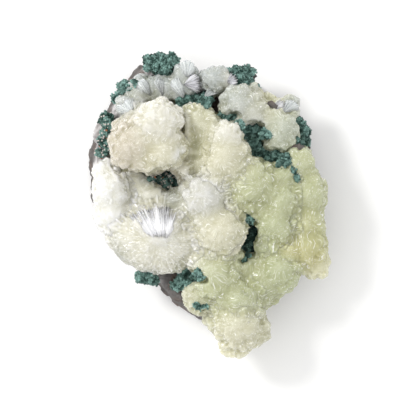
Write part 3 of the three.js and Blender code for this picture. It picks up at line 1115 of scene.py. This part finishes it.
# Stilbite, the satin fans, the plate and the glassy sheaves
# Crystals split along their length: silky white or glassy fans of fibres, which lie on the masses,
# and one cream plate with a straight edge that juts out over the crevice.
def highest_at(x, y):
    """The highest place of the whole object at x, y, which are in millimetres."""
    graph = bpy.context.evaluated_depsgraph_get()
    return bpy.context.scene.ray_cast(graph, Vector((x * MM, y * MM, ABOVE_ALL)), DOWN)[1]


DRAPE_WINDOW = 21
DRAPE_FALL = 1.2
DRAPE_CLIMB = 1.5
DRAPE_LIFT = 0.8


def draped(rows):
    """The heights of a fan laid on what is already there, smoothed over its bumps, with sunken sides."""
    heights = np.array([[highest_at(x, y).z / MM for x, y, _ in row] for row in rows])
    planned = np.array(rows)[:, :, 2]
    heights = np.clip(heights, planned - DRAPE_FALL, planned + DRAPE_CLIMB)
    window = np.ones(DRAPE_WINDOW) / DRAPE_WINDOW
    for index, row in enumerate(heights):
        heights[index] = np.convolve(np.pad(row, DRAPE_WINDOW // 2, mode="edge"), window, mode="valid")
    heights[1:-1] = (heights[:-2] + heights[1:-1] + heights[2:]) / 3
    across = np.linspace(-1, 1, heights.shape[1])
    along = np.linspace(-1, 1, heights.shape[0])[:, None]
    heights = heights + DRAPE_LIFT - 1.1 * across**6
    return heights - 1.3 * np.clip(-along, 0, 1) ** 4 - 0.9 * np.clip(along, 0, 1) ** 8


FAN_STEPS = np.linspace(0, 1, 9)


def petal(
    name, node, apex, rim, thickness, tint, fibres, seed,
    ragged=0.9, ridge=0.30, bulge=0.8, start=0.04, shades=(1, 1), lies=False,
):
    """A fan of fibres from near its apex to the points along its rim, with a ragged end to each fibre."""
    chance = np.random.default_rng(seed)
    apex = np.array(apex) + ORIGIN_SHIFT
    rim = np.array(rim) + ORIGIN_SHIFT
    along = np.linspace(0, len(rim) - 1, fibres)
    ends = np.column_stack([np.interp(along, np.arange(len(rim)), rim[:, axis]) for axis in range(3)])
    longer = chance.uniform(-ragged, ragged, fibres) / np.linalg.norm(ends - apex, axis=1)
    ends += (ends - apex) * longer[:, None]
    height = chance.uniform(-ridge, ridge, fibres)
    first = start + chance.uniform(0, 0.4 * start, fibres)
    count = len(FAN_STEPS)
    rows = []
    for side in (1, -1):
        for step in FAN_STEPS:
            share = first + (1 - first) * step
            row = apex + (ends - apex) * share[:, None]
            row[:, 2] += bulge * share * (1 - share) + height * share * (side > 0)
            row[:, 2] -= thickness * (1 - 0.85 * share**2) * (side < 0)
            rows.append(row)
    if lies:
        laid = draped(rows[:count])
        for index, row in enumerate(rows):
            row[:, 2] = laid[index % count] + (height if index < count else -thickness)
    half = count * fibres
    faces = []
    for step in range(count - 1):
        for k in range(fibres - 1):
            low = step * fibres + k
            high = low + fibres
            faces.append((low, low + 1, high + 1, high))
            faces.append((half + high, half + high + 1, half + low + 1, half + low))
    edge = list(range(fibres)) + [step * fibres + fibres - 1 for step in range(1, count)]
    edge += [(count - 1) * fibres + k for k in range(fibres - 2, -1, -1)]
    edge += [step * fibres for step in range(count - 2, 0, -1)]
    for one, other in zip(edge, edge[1:] + edge[:1]):
        faces.append((one, half + one, half + other, other))
    made = object_from(name, (np.vstack(rows) * MM).tolist(), faces)
    mesh = made.data
    work = bmesh.new()
    work.from_mesh(mesh)
    bmesh.ops.recalc_face_normals(work, faces=work.faces)
    work.to_mesh(mesh)
    work.free()
    share = np.tile(np.repeat(FAN_STEPS, fibres), 2)
    coarse = chance.uniform(0.90, 1.04, (fibres + 3) // 4)
    streak = np.interp(np.arange(fibres), np.arange(0, fibres, 4), coarse)
    fine = chance.uniform(0.95, 1.03, fibres)
    streak *= fine * np.interp(along / along[-1], np.linspace(0, 1, len(shades)), shades)
    streak = np.tile(streak, 2 * count)
    colors = np.array(tint) * streak[:, None] * (0.94 + 0.06 * share)[:, None]
    store_color(mesh, "tint", np.clip(colors, 0, PALEST))
    fibre = np.tile(np.arange(fibres), 2 * count) * 0.9
    store_vector(mesh, "fan", np.column_stack([fibre, np.zeros(len(fibre)), share * 4]))
    store(mesh, "streaky", np.full(len(fibre), 0.2))
    mesh.materials.append(STILBITE)
    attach(made, "root")
    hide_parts(node)


SATIN = (0.88, 0.88, 0.90)
SILKY = (0.74, 0.74, 0.78)
GLASSY = (0.64, 0.67, 0.67)
petal(
    "stilbite_satin_fan",
    MAIN,
    (-17.1, -17.8, 38),
    [(-30.4, -4.0, 36), (-25, -1.6, 36), (-19, -0.8, 36), (-15, -1.2, 36), (-10.8, -5.0, 36)],
    2.0,
    SATIN,
    fibres=130,
    ragged=1.3,
    ridge=0.10,
    start=0.26,
    lies=True,
    shades=(0.88, 0.90, 1.03, 1.10, 1.10, 1.08),
    seed=31,
)
petal(
    "stilbite_plate",
    MAIN,
    (3.0, -9.5, 37.0),
    [(6, 1.0, 37), (11.5, -4, 37), (15.2, -12.2, 36.6), (11.5, -18.5, 36), (3.5, -21, 35)],
    4.0,
    TINTS["ivory"],
    fibres=60,
    ragged=0.15,
    ridge=0.05,
    bulge=2.0,
    seed=32,
)
petal(
    "stilbite_bow_tie_fan",
    "stilbite_bow_tie",
    (7.2, 47.6, 28.6),
    [(8.8, 51.2, 28.2), (10.6, 50.4, 28), (11.4, 48.2, 27.8), (10.4, 45.6, 27.6)],
    3.0,
    SILKY,
    fibres=50,
    lies=True,
    seed=33,
)
petal(
    "stilbite_top_fan",
    "stilbite_top_sheaves",
    (-9.4, 46.6, 29.6),
    [(-6.0, 51.0, 28.6), (-3.4, 49.0, 28.4), (-2.8, 45.4, 28.2), (-3.6, 43.2, 28.0)],
    3.0,
    SILKY,
    fibres=60,
    lies=True,
    seed=34,
)
petal(
    "stilbite_right_fan",
    "stilbite_upper_right_mass",
    (22.9, 35.9, 27.0),
    [(27.2, 40.9, 26.2), (29.6, 40.6, 26.0), (30.0, 38.2, 26.0)],
    3.5,
    SATIN,
    fibres=50,
    seed=35,
)
petal(
    "stilbite_right_glass",
    "stilbite_upper_right_mass",
    (28.6, 35.6, 26.4),
    [(30.2, 40.8, 26.0), (32.6, 41.0, 26.0), (35.0, 39.4, 25.8), (35.4, 37.0, 25.6)],
    3.0,
    GLASSY,
    fibres=46,
    ragged=0.4,
    lies=True,
    seed=36,
)
petal(
    "stilbite_small_glass",
    "stilbite_bow_tie",
    (-1.8, 41.6, 26.0),
    [(0.6, 46.4, 26.0), (3.2, 46.2, 26.0), (4.8, 43.6, 26.0)],
    3.0,
    GLASSY,
    fibres=40,
    ragged=0.4,
    seed=37,
)
# the middle of the foot of each sheaf on the top edge, and the points along its top
SHEAVES = [
    (
        (-22.0, 42.4, 28.2),
        [(-29.0, 46.2, 28.6), (-27.4, 48.6, 28.8), (-24.6, 49.2, 28.8), (-22.6, 47.4, 28.6)],
    ),
    (
        (-17.2, 41.8, 28.2),
        [(-21.0, 47.6, 28.6), (-19.0, 49.4, 28.8), (-16.8, 48.4, 28.6)],
    ),
    (
        (-8.8, 40.8, 28.4),
        [(-14.6, 45.2, 29.0), (-13.8, 48.6, 29.2), (-11.2, 49.2, 29.2), (-9.0, 46.2, 29.0)],
    ),
    (
        (-8.2, 49.2, 28.6),
        [(-11.2, 54.6, 28.4), (-8.6, 56.4, 28.2), (-5.2, 55.4, 28.0), (-4.4, 52.2, 28.0)],
    ),
    (
        (-28.4, 35.4, 31.0),
        [(-34.6, 35.6, 29.6), (-35.0, 38.4, 29.6), (-31.4, 41.4, 30.2), (-28.4, 41.2, 30.6)],
    ),
]
for number, (apex, rim) in enumerate(SHEAVES):
    petal(
        "stilbite_sheaf_" + str(number),
        "stilbite_top_sheaves",
        apex,
        rim,
        2.5,
        GLASSY,
        fibres=46,
        ragged=0.5,
        ridge=0.25,
        lies=True,
        seed=40 + number,
    )

# The basalt slab
# Dark fine-grained volcanic rock, sawn flat below and broken everywhere else, with pale crusts on its
# left edge.
def top_of(x, y, node):
    """The highest place at x, y, or beside the crust's own top where nothing lies below."""
    found = highest_at(x + ORIGIN_SHIFT[0], y + ORIGIN_SHIFT[1])
    return Vector((found.x, found.y, max(found.z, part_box(node)[1][2] - 3.0 * MM)))


def add_lumps(made, lumps, voxel):
    """Sets low lumps on what is already there, and makes them one with the crust."""
    work = bmesh.new()
    work.from_mesh(made.data)
    for top, radius in lumps:
        lump = bmesh.ops.create_icosphere(work, subdivisions=3, radius=radius * MM)["verts"]
        bmesh.ops.scale(work, vec=(1.1, 1.1, 0.5), verts=lump)
        bmesh.ops.translate(work, vec=top, verts=lump)
    work.to_mesh(made.data)
    work.free()
    add_remesh(made, voxel)
    settle(made)


def broken_skin_tree():
    """Gives rock its broken, stepped and pitted surface."""
    w = Growth("broken skin", ("Step Size", "Step Relief", "Grain Size", "Grain Relief"))
    given = w.given
    place = w.position()
    stray = w.vector("SUBTRACT", w.noise(place, 4.0 * MM)["Color"], (0.5, 0.5, 0.5))
    bent = w.vector("ADD", place, w.scaled(stray, 3.0 * MM))
    step = w.separate(w.cells(bent, given["Step Size"])["Color"])[0]
    grain = w.noise(place, given["Grain Size"], 3.0)["Fac"]
    rise = w.times(w.minus(step, 0.6), given["Step Relief"])
    rise = w.plus(rise, w.times(w.minus(grain, 0.5), given["Grain Relief"]))
    return w.finish(w.store(w.raised(rise), "grain", grain))


def basalt_material():
    material, w, surface, _ = new_material("basalt", roughness=0.75)
    place = w.add("ShaderNodeTexCoord").outputs["Object"]
    bump = w.add("ShaderNodeBump")
    bump.inputs["Strength"].default_value = 0.6
    bump.inputs["Distance"].default_value = 0.15 * MM
    w.feed(bump.inputs["Height"], w.noise(place, MM / 2.2, 4.0)["Fac"])
    w.feed(surface["Normal"], bump.outputs["Normal"])
    return material


ROCK_VOXEL = 1.0 * MM
ROCK_LUMPS = [
    (24.2, 38.6, 2.2), (26.2, 37.6, 1.8), (33.4, 22.6, 1.8), (35.6, 22.4, 1.6), (18.2, 50.8, 1.4),
]
ROCK_SKIN = {
    "Step Size": 3.2 * MM,
    "Step Relief": 1.1 * MM,
    "Grain Size": 1.6 * MM,
    "Grain Relief": 0.9 * MM,
}
BASALT_TINT = np.array([0.115, 0.105, 0.100])
RUST_TINT = np.array([0.16, 0.085, 0.055])
RUST_SIZE = 5.0 * MM
CRUST_TINT = np.array([0.64, 0.62, 0.62])
PATCH_SIZE = 6.0 * MM
PATCH_SHIFT = Vector((7, 7, 7))
RIM_CRUST = np.array([-0.030, -0.024])
rock = rough_copy("basalt_slab", "basalt_matrix", ROCK_VOXEL, 2)
lumps = [(top_of(x, y, "basalt_matrix"), radius) for x, y, radius in ROCK_LUMPS]
add_lumps(rock, lumps, ROCK_VOXEL)
store(rock.data, "exposed", smooth_step(points_of(rock.data)[:, 2], 0.2 * MM, 1.5 * MM))
add_nodes(rock, broken_skin_tree(), ROCK_SKIN)
settle(rock)
points = points_of(rock.data)
grain = read_float(rock.data, "grain")
rusty = np.array([noise.noise(Vector(point) / RUST_SIZE) for point in points])
rusty = (smooth_step(rusty, 0.10, 0.45) * 0.3)[:, None]
rock_colors = (BASALT_TINT * (1 - rusty) + RUST_TINT * rusty) * (0.4 + 1.2 * grain[:, None])
left_crust = smooth_step(-points[:, 0], 14 * MM, 26 * MM) * smooth_step(points[:, 2], 9 * MM, 14 * MM)
rim_crust = 1 - smooth_step(np.linalg.norm(points[:, :2] - RIM_CRUST, axis=1), 4 * MM, 10 * MM)
patches = np.array([noise.noise(Vector(point) / PATCH_SIZE + PATCH_SHIFT) for point in points])
patches = smooth_step(patches, -0.60, -0.05) * smooth_step(grain, 0.20, 0.60)
pale = (np.clip(left_crust + rim_crust, 0, 1) * patches)[:, None]
store_color(rock.data, "tint", rock_colors * (1 - pale) + CRUST_TINT * pale)
rock.data.materials.append(basalt_material())
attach(rock, "root")
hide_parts("basalt_matrix")

# The celadonite druses
# Crusts of tiny coated crystals gathered in knots, blue-green, paler on their tops and darker in
# their pits and recesses, where shade is painted in. Each grew by itself on the rock or in a gap between
# the masses.
def grain_shape(name):
    work = bmesh.new()
    bmesh.ops.create_icosphere(work, subdivisions=1, radius=0.5)
    mesh = bpy.data.meshes.new(name)
    work.to_mesh(mesh)
    work.free()
    return bpy.data.objects.new(name, mesh)


FULL_TURN = 6.28


def grain_coat_tree():
    """Covers a crust with small grains."""
    w = Growth("grain coat", ("Spacing", "Grain Size", "Lift"), COAT_INPUTS)
    given = w.given
    spots = w.scatter()
    lift = w.times(given["Lift"], w.random(-0.4, 1.0, 21))
    turns = w.combine(*[w.random(0.0, FULL_TURN, offset) for offset in (22, 23, 24)])
    turned = w.joined(w.add("FunctionNodeEulerToRotation"), turns)[0]
    across = w.times(given["Grain Size"], w.random(0.6, 1.3, 25))
    size = w.combine(across, across, w.times(across, w.random(0.7, 1.3, 26)))
    return w.stand(spots, w.scaled(spots["Normal"], lift), turned, size, w.random(-1.0, 1.0, 27))


CELADONITE = new_material("celadonite", roughness=0.5)[0]
GRAIN_COAT = grain_coat_tree()
GRAIN_SHAPES = bpy.data.collections.new("grain shapes")
GRAIN_SHAPES.objects.link(grain_shape("grain"))
# the pale and the dark ends of the teal; the dark end also carries the painted shade of pits and recesses
TEAL_TOP = np.array([0.25, 0.43, 0.385])
TEAL_DEEP = np.array([0.012, 0.05, 0.038])
# above these shades a grain is pale, on the druses that have such grains
PALE_FLECKS = {"celadonite_hollow": 0.55, "celadonite_left_edge": 0.65}
PALE_FLECK = (0.58, 0.54, 0.50)
RUSTY_BELOW = -0.93
RUSTY_FLECK = (0.42, 0.16, 0.08)
# painted shade: how much darker than its tops a druse is in a recess
RECESS_SHADE = {"celadonite_crevice": 0.40, "celadonite_hollow": -0.10}
CRUST_VOXEL = 0.6 * MM
KNOTS = {
    "Lobe Size": 2.2 * MM,
    "Lobe Relief": 1.2 * MM,
    "Knob Size": 1.0 * MM,
    "Knob Relief": 0.7 * MM,
    "Sway": 1.3 * MM,
    "Sway Size": 3.5 * MM,
}
GRAINS = {"Spacing": 0.62 * MM, "Grain Size": 0.84 * MM, "Lift": 0.38 * MM}
# the lumps on each crust: their middles and radii
LUMPS = {
    "celadonite_top_knob": [(-22, 55.5, 3.0), (-14, 56, 2.6)],
    "celadonite_upper_band": [(-9, 40, 2.6), (-0.5, 41, 2.4), (-1.5, 39, 2.4)],
    "celadonite_upper_right_knob": [(11, 51, 3.0), (15.5, 51.5, 2.8), (13, 47.5, 2.4)],
    "celadonite_middle_ridge": [
        (6.5, 34.5, 2.2), (10, 33, 3.0), (12.5, 31, 2.2), (15.5, 28.5, 2.6), (18.5, 28.5, 3.0),
        (22.5, 27.5, 2.0), (17, 24.5, 3.0), (19, 21, 2.6), (23, 18.5, 2.6), (27, 19, 3.0),
        (30.5, 17.5, 2.2), (29, 15.5, 2.0), (33, 13.5, 1.3), (34.5, 11, 1.1),
    ],
    "celadonite_right_edge": [(35, 32, 2.6), (37, 28, 2.6), (38, 25, 2.0), (34.5, 24, 2.2)],
    "celadonite_left_edge": [(-39, 34, 2.4), (-38.5, 29.5, 2.6), (-40, 25, 2.4), (-42, 20.5, 1.6)],
    "celadonite_corner_edge": [(-32, 45, 2.4), (-35.5, 42, 1.8), (-28, 47.5, 1.6)],
    "celadonite_hollow": [
        (-21.5, 9.5, 1.6), (-18.6, 10.6, 1.8), (-16.0, 9.6, 2.4), (-15, 6.8, 2.0), (-13.0, 9.4, 2.2),
    ],
    "celadonite_crevice": [
        (15.2, -5, 2.4), (17, -8.5, 2.4), (17, -13.3, 2), (15.6, -17, 2.8), (14.6, -20.5, 2.2),
        (17.5, -17, 2.0),
    ],
    "celadonite_lower_patch": [(-9, -26.5, 2.8), (-5, -29, 3.0), (-2.5, -26.5, 2.0)],
    "celadonite_lower_left_edge": [
        (-23, -26, 1.7), (-20.5, -28.5, 1.8), (-3.5, -39, 1.5), (-1, -38.6, 1.1),
    ],
}


def druse(node, seed):
    """A crust with lumps, knots on the lumps and grains on the knots, coloured grain by grain."""
    made = rough_copy(node + "_druse", node, CRUST_VOXEL, 10)
    lumps = [(top_of(x, y, node), radius) for x, y, radius in LUMPS[node]]
    add_lumps(made, lumps, CRUST_VOXEL)
    mesh = made.data
    points = points_of(mesh)
    others = tree_of([other for other in NODE_NAMES if other != node])
    clear = smooth_step(distance_to(others, points, 1.2 * MM), 0.2 * MM, 0.6 * MM)
    for top, radius in lumps:
        clear[np.linalg.norm(points - np.array(top), axis=1) < 1.1 * radius * MM] = 1.0
    store(mesh, "exposed", clear)
    store(mesh, "flank", np.ones(len(points)))
    add_nodes(made, LOBED_SKIN, {**KNOTS, "Seed": seed})
    settle(made)
    coat = {**GRAINS, "Seed": seed, "Shapes": GRAIN_SHAPES, "Material": CELADONITE}
    add_nodes(made, GRAIN_COAT, coat)
    settle(made)
    mesh = made.data
    shade = read_float(mesh, "shade")
    # painted shade: darker in recesses and in the pits between the knots
    deep = smooth_step(recess_of(points_of(mesh)), -2.0 * MM, 12.0 * MM)
    pit_shade = 1 - smooth_step(read_float(mesh, "lobe"), 0.2, 0.9)
    dark = RECESS_SHADE.get(node, 0.05)
    share = np.clip(0.55 - dark * deep - 0.6 * pit_shade + 0.45 * shade, 0, 1)[:, None]
    colors = TEAL_DEEP * (1 - share) + TEAL_TOP * share
    if node in PALE_FLECKS:
        colors[shade > PALE_FLECKS[node]] = PALE_FLECK
        colors[shade < RUSTY_BELOW] = RUSTY_FLECK
    store_color(mesh, "tint", colors)
    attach(made, "root")
    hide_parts(node)


for number, node in enumerate(sorted(n for n in NODE_NAMES if n.startswith("celadonite"))):
    druse(node, 20 + number)
